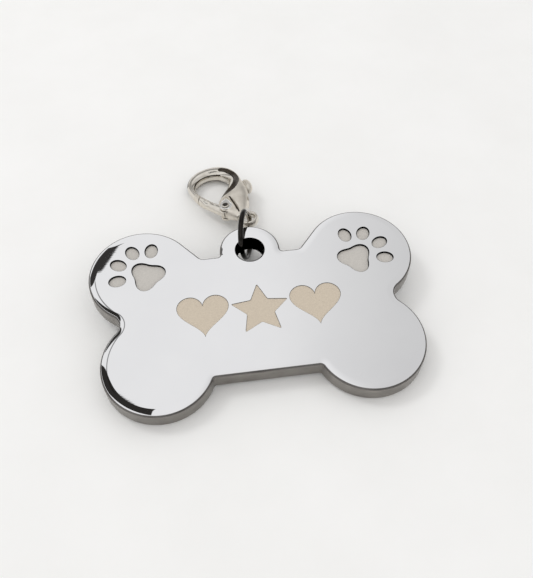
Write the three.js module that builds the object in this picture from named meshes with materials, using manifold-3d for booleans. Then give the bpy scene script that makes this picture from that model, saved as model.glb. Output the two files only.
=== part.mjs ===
// Dog collar pendant: a bone-shaped metal tag, its jump ring and a lobster clasp.
// Units are millimetres and +Z is up. The pendant lies on z = 0 the way it is laid down on a table:
// the tag face up with its lower edge on the table, the jump ring standing through the tag's hole,
// and the clasp lying flat with its eye held up a little by the ring.
import * as THREE from "three";
import { mergeVertices } from "three/addons/utils/BufferGeometryUtils.js";
import Module from "manifold-3d";

const wasm = await Module();
wasm.setup();

// Tag plate, in its own frame: x = 0 is its mirror line, z = 0 is its back face.
const PLATE_T = 2.8;
const UPPER_LOBE = { x: 16.1, y: 4.65, r: 7.85 };
const LOWER_LOBE = { x: 14.62, y: -10.05, r: 7.88 };
const SIDE_NOTCH_R = 1.8;
const TOP_VALLEY_Y = 6.5;
const BOTTOM_EDGE_Y = -13.15;
const FLANK_ANGLE = 140;
const FLANK_FILLET_R = 1.0;
const CORNER_FILLET_R = 0.5;
const TAB = { y: 7.2, r: 4.5 };
const HOLE_R = 2.05;
const HOLE_CHAMFER = 0.2;
const FRONT_SLOPE_IN = 1.2;
const FRONT_SLOPE_DROP = 0.06;
const FRONT_ROUND = 0.3;
const FRONT_ROUND_STEPS = 4;
const BACK_CHAMFER = 0.3;

// Paw prints sunk into the upper lobes.
const PAW_PAD = { x: 15.4, y: 4.1, r: 2.3, lobed: 0.18 };
const PAW_DEPTH = 0.3;
const PAW_TURN = 47;
const PAW_OFF_LEVEL = 0.4;
const TOE_LONG = 2.5;
const TOE_WIDE = 1.9;
const TOE_REACH = [4.4, 4.75, 4.75, 4.4];
const TOE_STEP = 35.5;

// Jump ring.
const RING_WIRE = 0.8;
const RING_OD = 8.0;
const RING_BUTT_GAP = 0.12;
const RING_BUTT_ANGLE = -70;
const RING_YAW = 15;
const RING_LEAN = -8;
const RING_ALONG_TAB = -0.33;
const RING_PULL = 0.75;
const RING_LIFT = 0.12;
const EYE_DROP_ANGLE = 10;
const EYE_PULL = 0.28;

// Lobster clasp, in its own frame: the eye's centre is the origin, +Y runs to the hook's top, and
// +X is the spine side that the thumb tab stands out of.
const EYE_OD = 3.2;
const EYE_HOLE = 1.9;
const EYE_T = 1.3;
const HOOK_OUTER = { x: 1.15, y: 11.5, r: 4.45 };
const HOOK_OPENING = { x: 0.5, y: 10.75, r: 2.95 };
const HOOK_TIP = { inner: { x: -2.42, y: 9.8 }, outer: { x: -3.45, y: 9.2 } };
const HOOK_START_ANGLE = 180;
const HOOK_ROOT_ANGLE = -16;
const HOOK_TIP_HALF_T = 0.85;
const HOOK_TOP_HALF_T = 0.92;
const HOOK_ROOT_HALF_T = 1.25;
const SECTION_POWER = 0.8;
const BELLY_HALF_T = 1.65;
const PIVOT = { x: -1.35, y: 4.2 };
const CHEEK_LAND = { r: 1.1, tip: 2.05, angle: 52, halfT: 1.2 };
const CHEEK_BOSS_R = 0.95;
const SLOT_T = 1.6;
const SLOT_CLEARANCE = 0.22;
const CLASP_YAW = 30;

// Gate lever.
const GATE_ARM_T = 1.25;
const GATE_TIP_GAP = 0.16;
const GATE_HUB_R = 1.0;
const GATE_OPEN_ANGLE = 22;
const TAIL_HALF_W = 0.5;
const THUMB_TAB = { x: 4.95, y: 7.2, long: 1.6, out: 0.85, halfT: 0.95, angle: 70 };
const THUMB_CLEARANCE = 0.25;

// Rivet and return spring.
const RIVET_R = 0.42;
const RIVET_PLAY = 0.06;
const RIVET_HEAD_R = 0.62;
const RIVET_HEAD_T = 0.22;
const SPRING_WIRE = 0.2;
const SPRING_OD = 1.15;
const SPRING_TURNS = 2;
const SPRING_SEAT_GAP = 0.1;
const SPRING_X = 1.7;

// Mesh fineness.
const ARC_STEP = 8;
const RING_SIDES = 10;
const RING_STEPS = 56;
const LOFT_SIDES = 18;
const ROUND_SIDES = 28;

const rad = THREE.MathUtils.degToRad;

// A closed mesh from a BufferGeometry, as a solid that can be joined and cut.
function solid(geometry) {
  const bare = geometry.index ? geometry.toNonIndexed() : geometry.clone();
  bare.deleteAttribute("normal");
  bare.deleteAttribute("uv");
  const merged = mergeVertices(bare, 1e-5);
  return new wasm.Manifold(
    new wasm.Mesh({
      numProp: 3,
      vertProperties: merged.attributes.position.array,
      triVerts: new Uint32Array(merged.index.array),
    }),
  );
}

// A solid's surface, back as a BufferGeometry.
function surface(manifold) {
  const mesh = manifold.getMesh();
  const geometry = new THREE.BufferGeometry();
  geometry.setAttribute("position", new THREE.BufferAttribute(mesh.vertProperties, 3));
  geometry.setIndex(new THREE.BufferAttribute(mesh.triVerts, 1));
  geometry.computeVertexNormals();
  return geometry;
}

// Points along an arc, both ends included, turning from one angle to the other in degrees.
function arc(centre, r, from, to) {
  const steps = Math.max(2, Math.ceil(Math.abs(to - from) / ARC_STEP));
  const points = [];
  for (let i = 0; i <= steps; i++) {
    const a = rad(from + ((to - from) * i) / steps);
    points.push(new THREE.Vector2(centre.x + r * Math.cos(a), centre.y + r * Math.sin(a)));
  }
  return points;
}

function angleTo(from, to) {
  return THREE.MathUtils.radToDeg(Math.atan2(to.y - from.y, to.x - from.x));
}

// Joins runs of points and drops the ones that repeat.
function joinRuns(runs) {
  const points = [];
  for (const p of runs.flat()) {
    const last = points[points.length - 1];
    if (!last || last.distanceTo(p) > 1e-4) points.push(p);
  }
  if (points[0].distanceTo(points[points.length - 1]) < 1e-4) points.pop();
  return points;
}

// The centre of the small fillet between the level edge y = level and a circle, on the side
// that the sign says, with the fillet outside the plate.
function levelFillet(circle, level, outward, r, side) {
  const y = level + outward * r;
  const reach = Math.sqrt((circle.r + r) ** 2 - (y - circle.y) ** 2);
  return { x: circle.x + side * reach, y };
}

// Outline of the plate, counter-clockwise, built as its right half and mirrored.
function plateOutline() {
  const tab = { x: 0, y: TAB.y, r: TAB.r };
  const up = UPPER_LOBE;
  const low = LOWER_LOBE;

  const tabFillet = levelFillet(tab, TOP_VALLEY_Y, 1, CORNER_FILLET_R, 1);
  const flank = { x: Math.cos(rad(FLANK_ANGLE)), y: Math.sin(rad(FLANK_ANGLE)) };
  const valleyFilletY = TOP_VALLEY_Y + FLANK_FILLET_R;
  const flankReach = up.r + FLANK_FILLET_R - (valleyFilletY - up.y) * flank.y;
  const valleyFillet = { x: up.x + flankReach / flank.x, y: valleyFilletY };

  const apart = Math.hypot(up.x - low.x, up.y - low.y);
  const nearUp = (apart ** 2 + (up.r + SIDE_NOTCH_R) ** 2 - (low.r + SIDE_NOTCH_R) ** 2) / (2 * apart);
  const outBy = Math.sqrt((up.r + SIDE_NOTCH_R) ** 2 - nearUp ** 2);
  const down = { x: (low.x - up.x) / apart, y: (low.y - up.y) / apart };
  const notch = { x: up.x + down.x * nearUp - down.y * outBy, y: up.y + down.y * nearUp + down.x * outBy };

  const bottomFillet = levelFillet(low, BOTTOM_EDGE_Y, -1, CORNER_FILLET_R, -1);

  const right = joinRuns([
    arc(tab, TAB.r, 90, angleTo(tab, tabFillet)),
    arc(tabFillet, CORNER_FILLET_R, angleTo(tabFillet, tab), 270),
    arc(valleyFillet, FLANK_FILLET_R, -90, FLANK_ANGLE - 180),
    arc(up, up.r, FLANK_ANGLE, angleTo(up, notch)),
    arc(notch, SIDE_NOTCH_R, angleTo(notch, up), angleTo(notch, low) + 360),
    arc(low, low.r, angleTo(low, notch), angleTo(low, bottomFillet)),
    arc(bottomFillet, CORNER_FILLET_R, angleTo(bottomFillet, low), 90),
  ]);
  const left = right.map((p) => new THREE.Vector2(-p.x, p.y)).reverse();
  return joinRuns([right, left]).reverse();
}

// Each outline point moved inwards along its own normal.
function inset(outline, by) {
  return outline.map((p, i) => {
    const before = outline[(i + outline.length - 1) % outline.length];
    const after = outline[(i + 1) % outline.length];
    const along = after.clone().sub(before).normalize();
    return new THREE.Vector2(p.x - along.y * by, p.y + along.x * by);
  });
}

// A closed body from rings of equal count, low to high, with flat ends.
function stackRings(rings) {
  const count = rings[0].length;
  const positions = rings.flat().flatMap((p) => [p.x, p.y, p.z]);
  const index = [];
  for (let k = 0; k < rings.length - 1; k++) {
    for (let i = 0; i < count; i++) {
      const a = k * count + i;
      const b = k * count + ((i + 1) % count);
      index.push(a, b, b + count, a, b + count, a + count);
    }
  }
  const cap = (ring, base, flip) => {
    const flat = ring.map((p) => new THREE.Vector2(p.x, p.y));
    for (const [a, b, c] of THREE.ShapeUtils.triangulateShape(flat, [])) {
      index.push(base + a, base + (flip ? c : b), base + (flip ? b : c));
    }
  };
  cap(rings[0], 0, true);
  cap(rings[rings.length - 1], (rings.length - 1) * count, false);
  const geometry = new THREE.BufferGeometry();
  geometry.setAttribute("position", new THREE.Float32BufferAttribute(positions, 3));
  geometry.setIndex(index);
  return geometry;
}

function ringAt(outline, by, z) {
  return inset(outline, by).map((p) => new THREE.Vector3(p.x, p.y, z));
}

// The plate's blank: chamfered at the back, and at the front sloped a little and then rounded.
function plateBlank() {
  const outline = plateOutline();
  const rings = [ringAt(outline, BACK_CHAMFER, 0), ringAt(outline, 0, BACK_CHAMFER)];
  const roundTop = PLATE_T - FRONT_SLOPE_DROP;
  for (let k = 0; k <= FRONT_ROUND_STEPS; k++) {
    const a = rad((90 * k) / FRONT_ROUND_STEPS);
    const z = roundTop - FRONT_ROUND * (1 - Math.sin(a));
    rings.push(ringAt(outline, FRONT_ROUND * (1 - Math.cos(a)), z));
  }
  rings.push(ringAt(outline, FRONT_SLOPE_IN, PLATE_T));
  return stackRings(rings);
}

// A round cutter on the z axis with a chamfer at both faces of the plate.
function holeCutter() {
  const over = 1;
  const wide = HOLE_R + HOLE_CHAMFER + over;
  const profile = [
    [0, -over],
    [wide, -over],
    [HOLE_R, HOLE_CHAMFER],
    [HOLE_R, PLATE_T - HOLE_CHAMFER],
    [wide, PLATE_T + over],
    [0, PLATE_T + over],
  ].map(([x, y]) => new THREE.Vector2(x, y));
  return new THREE.LatheGeometry(profile, ROUND_SIDES).rotateX(Math.PI / 2);
}

function extrudeUp(points, depth) {
  return new THREE.ExtrudeGeometry(new THREE.Shape(points), {
    depth,
    bevelEnabled: false,
    curveSegments: 1,
  });
}

// The five hollows of one paw print on the right lobe, before any mirroring.
function pawOutlines() {
  const turns = ROUND_SIDES - 4;
  const pad = [];
  for (let i = 0; i < turns; i++) {
    const a = (2 * Math.PI * i) / turns;
    const r = PAW_PAD.r * (1 + PAW_PAD.lobed * Math.cos(3 * (a - rad(PAW_TURN))));
    pad.push(new THREE.Vector2(PAW_PAD.x + r * Math.cos(a), PAW_PAD.y + r * Math.sin(a)));
  }
  const toes = TOE_REACH.map((reach, k) => {
    const at = rad(PAW_TURN + (k - (TOE_REACH.length - 1) / 2) * TOE_STEP);
    const toe = [];
    for (let i = 0; i < turns - 6; i++) {
      const a = (2 * Math.PI * i) / (turns - 6);
      const along = reach + (TOE_LONG / 2) * Math.cos(a);
      const across = (TOE_WIDE / 2) * Math.sin(a);
      toe.push(
        new THREE.Vector2(
          PAW_PAD.x + along * Math.cos(at) - across * Math.sin(at),
          PAW_PAD.y + along * Math.sin(at) + across * Math.cos(at),
        ),
      );
    }
    return toe;
  });
  return [pad, ...toes];
}

function tagPlate() {
  let plate = solid(plateBlank());
  plate = plate.subtract(solid(holeCutter().translate(0, TAB.y, 0)));
  const floor = PLATE_T - PAW_DEPTH;
  for (const outline of pawOutlines()) {
    const right = outline.map((p) => new THREE.Vector2(p.x, p.y - PAW_OFF_LEVEL));
    const left = outline.map((p) => new THREE.Vector2(-p.x, p.y + PAW_OFF_LEVEL)).reverse();
    for (const points of [right, left]) {
      plate = plate.subtract(solid(extrudeUp(points, PAW_DEPTH + 1).translate(0, 0, floor)));
    }
  }
  return surface(plate);
}

const RING_R = (RING_OD - RING_WIRE) / 2;

// The jump ring in its own frame: its plane is y-z, and its butt gap is near the top.
class RingPath extends THREE.Curve {
  getPoint(t) {
    const gap = RING_BUTT_GAP / RING_R / 2;
    const start = rad(RING_BUTT_ANGLE) + gap;
    const a = start + t * (2 * Math.PI - 2 * gap);
    return new THREE.Vector3(0, RING_R * Math.cos(a), RING_R * Math.sin(a));
  }
}

function circleShape(r, sides) {
  const points = [];
  for (let i = 0; i < sides; i++) {
    const a = (2 * Math.PI * i) / sides;
    points.push(new THREE.Vector2(r * Math.cos(a), r * Math.sin(a)));
  }
  return new THREE.Shape(points);
}

function jumpRing() {
  const wire = circleShape(RING_WIRE / 2, RING_SIDES);
  return surface(
    solid(new THREE.ExtrudeGeometry(wire, { steps: RING_STEPS, extrudePath: new RingPath() })),
  );
}

// A section of the casting: an upright oval from an inner point to an outer point.
function section(inner, outer, halfT) {
  return [inner.x, inner.y, outer.x, outer.y, halfT];
}

// Values between stations, by the Catmull-Rom rule, so that the casting runs smoothly.
function between(stations, perSpan) {
  const made = [];
  const at = (k) => stations[Math.min(Math.max(k, 0), stations.length - 1)];
  for (let k = 0; k < stations.length - 1; k++) {
    for (let j = 0; j < perSpan; j++) {
      const t = j / perSpan;
      made.push(
        at(k).map((b, i) => {
          const a = at(k - 1)[i];
          const c = at(k + 1)[i];
          const d = at(k + 2)[i];
          const cubic = -a + 3 * b - 3 * c + d;
          const square = 2 * a - 5 * b + 4 * c - d;
          return b + 0.5 * t * (c - a + t * (square + t * cubic));
        }),
      );
    }
  }
  made.push(at(stations.length - 1));
  return made;
}

// A power below 1 makes an oval a little square, as the casting's sections are.
function blunt(v) {
  return Math.sign(v) * Math.abs(v) ** SECTION_POWER;
}

// A closed body through oval sections. Each end is flat.
function loft(stations, perSpan) {
  const sections = between(stations, perSpan);
  const positions = [];
  for (const [ix, iy, ox, oy, halfT] of sections) {
    for (let i = 0; i < LOFT_SIDES; i++) {
      const a = (2 * Math.PI * i) / LOFT_SIDES;
      const t = (1 + blunt(Math.cos(a))) / 2;
      positions.push(ix + (ox - ix) * t, iy + (oy - iy) * t, halfT * blunt(Math.sin(a)));
    }
  }
  const index = [];
  for (let k = 0; k < sections.length - 1; k++) {
    for (let i = 0; i < LOFT_SIDES; i++) {
      const a = k * LOFT_SIDES + i;
      const b = k * LOFT_SIDES + ((i + 1) % LOFT_SIDES);
      index.push(a, b, b + LOFT_SIDES, a, b + LOFT_SIDES, a + LOFT_SIDES);
    }
  }
  const last = (sections.length - 1) * LOFT_SIDES;
  for (let i = 1; i < LOFT_SIDES - 1; i++) {
    index.push(0, i + 1, i);
    index.push(last, last + i, last + i + 1);
  }
  const geometry = new THREE.BufferGeometry();
  geometry.setAttribute("position", new THREE.Float32BufferAttribute(positions, 3));
  geometry.setIndex(index);
  return geometry;
}

// The hook's sections lie across the band between the opening's circle and the outer circle.
function hookSection(angle, halfT) {
  const a = rad(angle);
  const inner = {
    x: HOOK_OPENING.x + HOOK_OPENING.r * Math.cos(a),
    y: HOOK_OPENING.y + HOOK_OPENING.r * Math.sin(a),
  };
  const outer = {
    x: HOOK_OUTER.x + HOOK_OUTER.r * Math.cos(a),
    y: HOOK_OUTER.y + HOOK_OUTER.r * Math.sin(a),
  };
  return section(inner, outer, halfT);
}

function hookStations() {
  const stations = [section(HOOK_TIP.inner, HOOK_TIP.outer, HOOK_TIP_HALF_T)];
  const spans = 7;
  for (let k = 0; k <= spans; k++) {
    const t = k / spans;
    const angle = HOOK_START_ANGLE + (HOOK_ROOT_ANGLE - HOOK_START_ANGLE) * t;
    const early = Math.min(1, 2 * t);
    const late = Math.max(0, 2 * t - 1);
    const halfT =
      HOOK_TIP_HALF_T +
      (HOOK_TOP_HALF_T - HOOK_TIP_HALF_T) * early +
      (HOOK_ROOT_HALF_T - HOOK_TOP_HALF_T) * late;
    stations.push(hookSection(angle, halfT));
  }
  return stations;
}

// The belly runs from the hook's root down to the neck beside the eye.
function bellyStations() {
  return [
    section({ x: 2.5, y: 8.9 }, { x: 5.0, y: 8.7 }, BELLY_HALF_T * 0.88),
    section({ x: 1.2, y: 7.8 }, { x: 4.5, y: 6.6 }, BELLY_HALF_T * 0.98),
    section({ x: -0.3, y: 7.0 }, { x: 3.9, y: 5.1 }, BELLY_HALF_T),
    section({ x: -1.75, y: 5.9 }, { x: 3.1, y: 3.9 }, BELLY_HALF_T * 0.95),
    section({ x: -2.4, y: 4.2 }, { x: 2.2, y: 2.9 }, BELLY_HALF_T * 0.85),
    section({ x: -1.85, y: 2.7 }, { x: 1.2, y: 1.9 }, BELLY_HALF_T * 0.66),
    section({ x: -1.15, y: 1.4 }, { x: 0.4, y: 1.15 }, EYE_T * 0.45),
  ];
}

function eyeRing() {
  const mid = (EYE_OD + EYE_HOLE) / 4;
  const half = (EYE_OD - EYE_HOLE) / 4;
  const profile = [];
  const sides = 12;
  for (let i = 0; i <= sides; i++) {
    const a = (2 * Math.PI * i) / sides;
    profile.push(new THREE.Vector2(mid + half * Math.cos(a), (EYE_T / 2) * Math.sin(a)));
  }
  return new THREE.LatheGeometry(profile, ROUND_SIDES).rotateX(Math.PI / 2);
}

// A flat prism between two heights, centred on z = 0.
function slab(points, thickness) {
  return extrudeUp(points, thickness).translate(0, 0, -thickness / 2);
}

const TAIL_ANGLE = angleTo(PIVOT, THUMB_TAB);

// A point at a distance from the pivot in one direction, moved sideways to its left.
function fromPivot(angle, along, left) {
  const a = rad(angle);
  return new THREE.Vector2(
    PIVOT.x + along * Math.cos(a) - left * Math.sin(a),
    PIVOT.y + along * Math.sin(a) + left * Math.cos(a),
  );
}

// The slot through the belly, as wide as the lever sweeps, open at the gate and at the thumb tab.
function slotOutline() {
  const far = 12;
  const tail = TAIL_HALF_W + SLOT_CLEARANCE;
  const gateInner = PIVOT.x + 1.3;
  const top = HOOK_TIP.outer.y - 0.15;
  const hub = GATE_HUB_R + SLOT_CLEARANCE;
  const bottom = arc(PIVOT, hub, TAIL_ANGLE - GATE_OPEN_ANGLE - 90, -180);
  return [
    new THREE.Vector2(PIVOT.x - far, top),
    new THREE.Vector2(gateInner, top),
    new THREE.Vector2(gateInner, PIVOT.y + 1.7),
    fromPivot(TAIL_ANGLE, 2.2, tail),
    fromPivot(TAIL_ANGLE, far, tail),
    fromPivot(TAIL_ANGLE - GATE_OPEN_ANGLE, far, -tail),
    ...bottom,
    new THREE.Vector2(PIVOT.x - far, PIVOT.y - hub),
  ].reverse();
}

function pin(r, length) {
  return new THREE.CylinderGeometry(r, r, length, ROUND_SIDES - 4).rotateX(Math.PI / 2);
}

// The thumb tab's oval pad, grown all round by a clearance when it is used as a cutter.
function thumbPad(grow) {
  return new THREE.SphereGeometry(1, 16, 10)
    .scale(THUMB_TAB.out + grow, THUMB_TAB.long + grow, THUMB_TAB.halfT + grow)
    .rotateZ(rad(THUMB_TAB.angle - 90))
    .translate(THUMB_TAB.x, THUMB_TAB.y, 0);
}

// The flat land round the rivet's head: a circle drawn out to a point towards the hook.
function landOutline() {
  const half = THREE.MathUtils.radToDeg(Math.acos(CHEEK_LAND.r / CHEEK_LAND.tip));
  const tip = fromPivot(CHEEK_LAND.angle, CHEEK_LAND.tip, 0);
  const round = arc(PIVOT, CHEEK_LAND.r, CHEEK_LAND.angle + half, CHEEK_LAND.angle + 360 - half);
  return [tip, ...round];
}

function turnedAboutPivot(geometry, angle) {
  return geometry
    .translate(-PIVOT.x, -PIVOT.y, 0)
    .rotateZ(rad(angle))
    .translate(PIVOT.x, PIVOT.y, 0);
}

function claspBody() {
  let body = solid(loft([...hookStations(), ...bellyStations()], 3));
  body = body.add(solid(eyeRing()));
  const boss = pin(CHEEK_BOSS_R, 2 * CHEEK_LAND.halfT).translate(PIVOT.x, PIVOT.y, 0);
  body = body.add(solid(boss));
  for (const side of [-1, 1]) {
    const land = slab(landOutline(), BELLY_HALF_T).translate(0, 0, side * (CHEEK_LAND.halfT + BELLY_HALF_T / 2));
    body = body.subtract(solid(land));
  }
  const eyeCore = pin(EYE_HOLE / 2, 3 * EYE_T);
  body = body.subtract(solid(eyeCore));
  body = body.subtract(solid(slab(slotOutline(), SLOT_T)));
  for (let k = 0; k < 3; k++) {
    const pad = turnedAboutPivot(thumbPad(THUMB_CLEARANCE), (-GATE_OPEN_ANGLE * k) / 2);
    body = body.subtract(solid(pad));
  }
  const bore = pin(RIVET_R + RIVET_PLAY, 4 * BELLY_HALF_T).translate(PIVOT.x, PIVOT.y, 0);
  body = body.subtract(solid(bore));
  return surface(body);
}

// The lever: the gate arm that meets the hook's tip, the hub, the tail and the thumb tab.
function claspGate() {
  const inner = { x: HOOK_TIP.inner.x, y: HOOK_TIP.inner.y - GATE_TIP_GAP };
  const outer = { x: HOOK_TIP.outer.x, y: HOOK_TIP.outer.y - GATE_TIP_GAP };
  const gate = [
    section({ x: -0.75, y: 3.5 }, { x: -2.3, y: 3.5 }, GATE_ARM_T / 2),
    section({ x: -0.65, y: 4.4 }, { x: -2.6, y: 4.4 }, GATE_ARM_T / 2),
    section({ x: -1.3, y: 6.0 }, { x: -3.0, y: 6.0 }, GATE_ARM_T / 2),
    section({ x: -1.8, y: 7.3 }, { x: -3.3, y: 7.3 }, GATE_ARM_T / 2),
    section({ x: -2.12, y: 8.4 }, { x: -3.42, y: 8.2 }, HOOK_TIP_HALF_T * 0.95),
    section(inner, outer, HOOK_TIP_HALF_T),
  ];
  let lever = solid(loft(gate, 3));
  lever = lever.add(solid(pin(GATE_HUB_R, GATE_ARM_T).translate(PIVOT.x, PIVOT.y, 0)));
  const tailLength = Math.hypot(THUMB_TAB.x - PIVOT.x, THUMB_TAB.y - PIVOT.y);
  const tail = [
    fromPivot(TAIL_ANGLE, 0, -TAIL_HALF_W),
    fromPivot(TAIL_ANGLE, tailLength, -TAIL_HALF_W),
    fromPivot(TAIL_ANGLE, tailLength, TAIL_HALF_W),
    fromPivot(TAIL_ANGLE, 0, TAIL_HALF_W),
  ];
  lever = lever.add(solid(slab(tail, GATE_ARM_T)));
  lever = lever.add(solid(thumbPad(0)));
  const bore = pin(RIVET_R + RIVET_PLAY, 2 * GATE_ARM_T).translate(PIVOT.x, PIVOT.y, 0);
  return surface(lever.subtract(solid(bore)));
}

function gateRivet() {
  const half = CHEEK_LAND.halfT + RIVET_PLAY;
  const profile = [
    [0, -half - RIVET_HEAD_T],
    [RIVET_HEAD_R * 0.7, -half - RIVET_HEAD_T * 0.8],
    [RIVET_HEAD_R, -half],
    [RIVET_R, -half],
    [RIVET_R, half],
    [RIVET_HEAD_R, half],
    [RIVET_HEAD_R * 0.7, half + RIVET_HEAD_T * 0.8],
    [0, half + RIVET_HEAD_T],
  ].map(([x, y]) => new THREE.Vector2(x, y));
  return new THREE.LatheGeometry(profile, ROUND_SIDES - 4)
    .rotateX(Math.PI / 2)
    .translate(PIVOT.x, PIVOT.y, 0);
}

// The return spring: a small coil between the belly's lower wall and the underside of the tail.
class SpringPath extends THREE.Curve {
  constructor(low, high) {
    super();
    this.low = low;
    this.high = high;
  }
  getPoint(t) {
    const r = (SPRING_OD - SPRING_WIRE) / 2;
    const a = 2 * Math.PI * SPRING_TURNS * t;
    const y = this.low + (this.high - this.low) * t;
    return new THREE.Vector3(SPRING_X + r * Math.cos(a), y, r * Math.sin(a));
  }
}

function springEnds() {
  const half = SPRING_WIRE / 2 + SPRING_SEAT_GAP;
  const slope = rad(TAIL_ANGLE);
  const reach = SPRING_X - SPRING_OD / 2 - PIVOT.x;
  const high = PIVOT.y + reach * Math.tan(slope) - TAIL_HALF_W / Math.cos(slope) - half;
  const lowSlope = rad(TAIL_ANGLE - GATE_OPEN_ANGLE);
  const lowReach = SPRING_X + SPRING_OD / 2 - PIVOT.x;
  const wall = TAIL_HALF_W + SLOT_CLEARANCE;
  const low = PIVOT.y + lowReach * Math.tan(lowSlope) - wall / Math.cos(lowSlope) + half;
  return { low, high };
}

function gateSpring() {
  const { low, high } = springEnds();
  const wire = circleShape(SPRING_WIRE / 2, 5);
  const path = new SpringPath(low, high);
  return surface(
    solid(new THREE.ExtrudeGeometry(wire, { steps: 8 * SPRING_TURNS, extrudePath: path })),
  );
}

function metal(colour, roughness) {
  return new THREE.MeshStandardMaterial({ color: colour, roughness, metalness: 1 });
}

function mesh(name, geometry, material) {
  const made = new THREE.Mesh(geometry, material);
  made.name = name;
  return made;
}

// Where the pieces rest: the ring stands on the table, the rim of the tag's tab lies in it, and
// that sets how far the tab's end of the tag is lifted.
const lean = rad(RING_LEAN);
const ringHeight = RING_R * Math.cos(lean) + RING_WIRE / 2;
const rim = TAB.r - HOLE_R;
const rimY = TAB.y + HOLE_R + rim / 2;
const edgeY = LOWER_LOBE.y - LOWER_LOBE.r + BACK_CHAMFER;
const rimHeight = ringHeight - RING_LIFT;
const rimReach = Math.hypot(rimY - edgeY, PLATE_T / 2);
const tagTilt = Math.asin(rimHeight / rimReach) - Math.atan2(PLATE_T / 2, rimY - edgeY);

const tag = new THREE.Group();
tag.add(mesh("tag_plate", tagPlate(), metal(0xd9dadc, 0.12)));
tag.rotation.x = tagTilt;
tag.position.set(0, edgeY - edgeY * Math.cos(tagTilt), -edgeY * Math.sin(tagTilt));
tag.updateMatrix();

const rimCentre = new THREE.Vector3(RING_ALONG_TAB, rimY, PLATE_T / 2).applyMatrix4(tag.matrix);
const heading = new THREE.Vector3(Math.sin(rad(RING_YAW)), Math.cos(rad(RING_YAW)), 0);

const ring = new THREE.Group();
ring.add(mesh("jump_ring", jumpRing(), metal(0x8a8a8a, 0.15)));
ring.rotation.set(0, lean, -rad(RING_YAW), "ZYX");
ring.position.copy(rimCentre).addScaledVector(heading, RING_PULL);
ring.position.z = ringHeight;
ring.updateMatrix();

const drop = rad(-EYE_DROP_ANGLE);
const eyeOnRing = new THREE.Vector3(0, RING_R * Math.cos(drop), RING_R * Math.sin(drop));
const eyeCentre = eyeOnRing.applyMatrix4(ring.matrix);
const hookTopY = HOOK_OUTER.y + HOOK_OUTER.r - (HOOK_OUTER.r - HOOK_OPENING.r) / 2;
const claspTilt = Math.asin((eyeCentre.z - HOOK_TOP_HALF_T) / hookTopY);

const clasp = new THREE.Group();
const nickel = [0xcfc9bf, 0.2];
clasp.add(mesh("clasp_body", claspBody(), metal(...nickel)));
clasp.add(mesh("clasp_gate", claspGate(), metal(...nickel)));
clasp.add(mesh("gate_rivet", gateRivet(), metal(0x77726a, 0.3)));
clasp.add(mesh("gate_spring", gateSpring(), metal(0xb0aca4, 0.3)));
clasp.rotation.set(-claspTilt, 0, rad(CLASP_YAW), "ZXY");
clasp.position.copy(eyeCentre);
clasp.translateY(EYE_PULL);

// The whole pendant, with its origin under the middle of its bounding box.
const pendant = new THREE.Group();
pendant.add(tag, ring, clasp);
pendant.updateMatrixWorld(true);
const box = new THREE.Box3().setFromObject(pendant, true);
pendant.position.set(0, -(box.min.y + box.max.y) / 2, -box.min.z);

const model = new THREE.Group();
model.add(pendant);

export default model;
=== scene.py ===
import math

import bmesh
import bpy
from mathutils import Matrix, Vector, geometry

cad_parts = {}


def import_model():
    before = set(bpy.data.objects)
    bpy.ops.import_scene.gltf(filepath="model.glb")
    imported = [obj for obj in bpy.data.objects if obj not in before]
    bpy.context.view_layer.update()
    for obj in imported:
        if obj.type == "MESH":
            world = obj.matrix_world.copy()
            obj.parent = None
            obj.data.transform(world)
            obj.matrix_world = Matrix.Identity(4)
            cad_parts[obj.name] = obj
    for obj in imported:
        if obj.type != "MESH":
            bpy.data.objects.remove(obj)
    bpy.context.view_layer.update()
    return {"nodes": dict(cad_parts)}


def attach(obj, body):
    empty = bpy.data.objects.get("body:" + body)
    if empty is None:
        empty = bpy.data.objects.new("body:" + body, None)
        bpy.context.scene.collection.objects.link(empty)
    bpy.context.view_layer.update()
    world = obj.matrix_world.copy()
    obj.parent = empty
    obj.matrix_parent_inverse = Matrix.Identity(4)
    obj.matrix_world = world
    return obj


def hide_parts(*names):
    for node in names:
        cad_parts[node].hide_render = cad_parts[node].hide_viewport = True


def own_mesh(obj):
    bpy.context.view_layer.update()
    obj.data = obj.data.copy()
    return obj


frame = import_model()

# Lengths are in millimetres until a piece is put in its place in metres.
MM = 0.001

# Sizes of the tag, as in the CAD. A circle is its middle and its radius.
PLATE_T = 2.8
UPPER = (16.1, 4.65, 7.85)
LOWER = (14.62, -10.05, 7.88)
NOTCH_R = 1.8
VALLEY_Y = 6.5
BOTTOM_Y = -13.15
FLANK = math.radians(140)
FLANK_R = 1.0
CORNER_R = 0.5
TAB = (0.0, 7.2, 4.5)
HOLE_R = 2.05
HOLE_ROUND = 0.2
SLOPE_IN = 1.2
SLOPE_DROP = 0.06
EDGE_ROUND = 0.3
BACK_CHAMFER = 0.3
PAW = (15.4, 4.1)
PAW_R = 2.3
PAW_LOBED = 0.18
PAW_DEPTH = 0.3
PAW_TURN = 47
PAW_OFF_LEVEL = 0.4
TOE = (2.5, 1.9)
TOE_REACH = (4.4, 4.75, 4.75, 4.4)
TOE_STEP = 35.5

# The motif etched across the tag's face: each shape's middle and its width.
LEFT_HEART = (-7.9, -3.5, 7.4)
MIDDLE_STAR = (0.2, -3.4, 8.6)
RIGHT_HEART = (8.3, -3.5, 7.4)
ETCH_DEPTH = 0.07
ETCH_LIP = 0.02

# Material slots of the tag, and those of the clasp's castings.
ON_FACE, ON_WALL, ON_PAW_FLOOR, ON_ETCHED, ON_BACK, ON_PAW_WALL, ON_RIM = range(7)
# The clasp's zones: two finishes, then painted dark reflection and a painted highlight.
POLISHED, TUMBLED, PAINTED_DARK, PAINTED_BRIGHT = range(4)

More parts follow.
